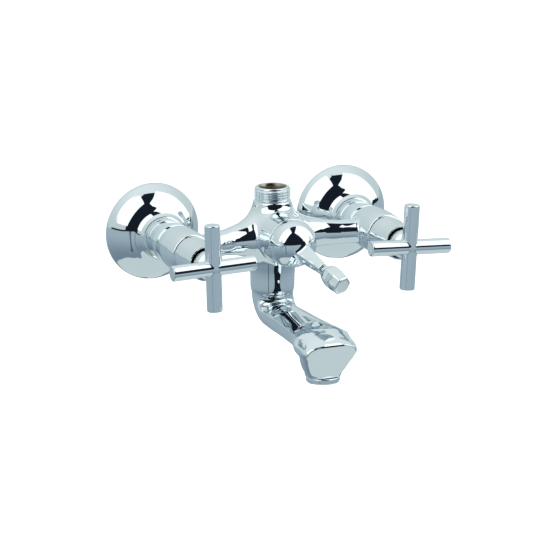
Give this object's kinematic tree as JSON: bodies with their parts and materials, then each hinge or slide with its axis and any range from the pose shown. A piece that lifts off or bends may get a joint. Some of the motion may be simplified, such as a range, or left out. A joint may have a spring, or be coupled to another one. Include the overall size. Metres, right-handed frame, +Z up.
{
  "type": "wall mounted bath faucet",
  "caption": "Wall mounted bath faucet with cross handles on ceramic valves, a lever diverter, a threaded top outlet for a shower and a fixed flat spout with an aerator.",
  "frame": {"origin": "on the finished wall, midway between the two inlets, at the height of the valve axes", "axes": "+X to the right seen from the front, -Y out of the wall towards the user, +Z up"},
  "size_m": [0.221, 0.1672, 0.1212],
  "materials": {
    "chrome_plate": "bright mirror chrome over brass, faintly cool",
    "bare_brass": "machined, unplated",
    "seal_rubber": "matt black",
    "ceramic": "lapped alumina ceramic",
    "white_plastic": "moulded acetal",
    "screw_steel": "plain steel"
  },
  "bodies": {
    "fixture": {"body": "chrome_plate", "escutcheon_left": "chrome_plate", "escutcheon_right": "chrome_plate", "union_nut_left": "chrome_plate", "union_nut_right": "chrome_plate", "handle_sleeve_left": "chrome_plate", "handle_sleeve_right": "chrome_plate", "aerator_housing": "chrome_plate", "wall_union_left": "bare_brass", "wall_union_right": "bare_brass", "inlet_nipple_left": "bare_brass", "inlet_nipple_right": "bare_brass", "headwork_gland_left": "bare_brass", "headwork_gland_right": "bare_brass", "diverter_cartridge": "bare_brass", "union_washer_left": "seal_rubber", "union_washer_right": "seal_rubber", "seat_seal_left": "seal_rubber", "seat_seal_right": "seal_rubber", "diverter_floor_seal": "seal_rubber", "aerator_gasket": "seal_rubber", "fixed_disc_left": "ceramic", "fixed_disc_right": "ceramic", "aerator_insert": "white_plastic"},
    "handle_left": {"moving_disc_left": "ceramic", "spindle_left": "bare_brass", "spindle_oring_left": "seal_rubber", "spline_bush_left": "white_plastic", "cross_handle_left": "chrome_plate", "handle_grub_screw_left": "screw_steel"},
    "handle_right": {"moving_disc_right": "ceramic", "spindle_right": "bare_brass", "spindle_oring_right": "seal_rubber", "spline_bush_right": "white_plastic", "cross_handle_right": "chrome_plate", "handle_grub_screw_right": "screw_steel"},
    "diverter": {"diverter_plug": "bare_brass", "diverter_oring": "seal_rubber", "diverter_handle": "chrome_plate", "diverter_grub_screw": "screw_steel", "diverter_knob": "chrome_plate"}
  },
  "joints": [
    {"name": "left_handle_turn", "type": "hinge", "parent": "fixture", "child": "handle_left", "pos_m": [-0.075, -0.1, 0], "axis": [0, -1, 0], "range_deg": [0, 90]},
    {"name": "right_handle_turn", "type": "hinge", "parent": "fixture", "child": "handle_right", "pos_m": [0.075, -0.1, 0], "axis": [0, 1, 0], "range_deg": [0, 90]},
    {"name": "diverter_turn", "type": "hinge", "parent": "fixture", "child": "diverter", "pos_m": [0, -0.084, 0.002], "axis": [0, -1, 0], "range_deg": [0, 180]}
  ]
}
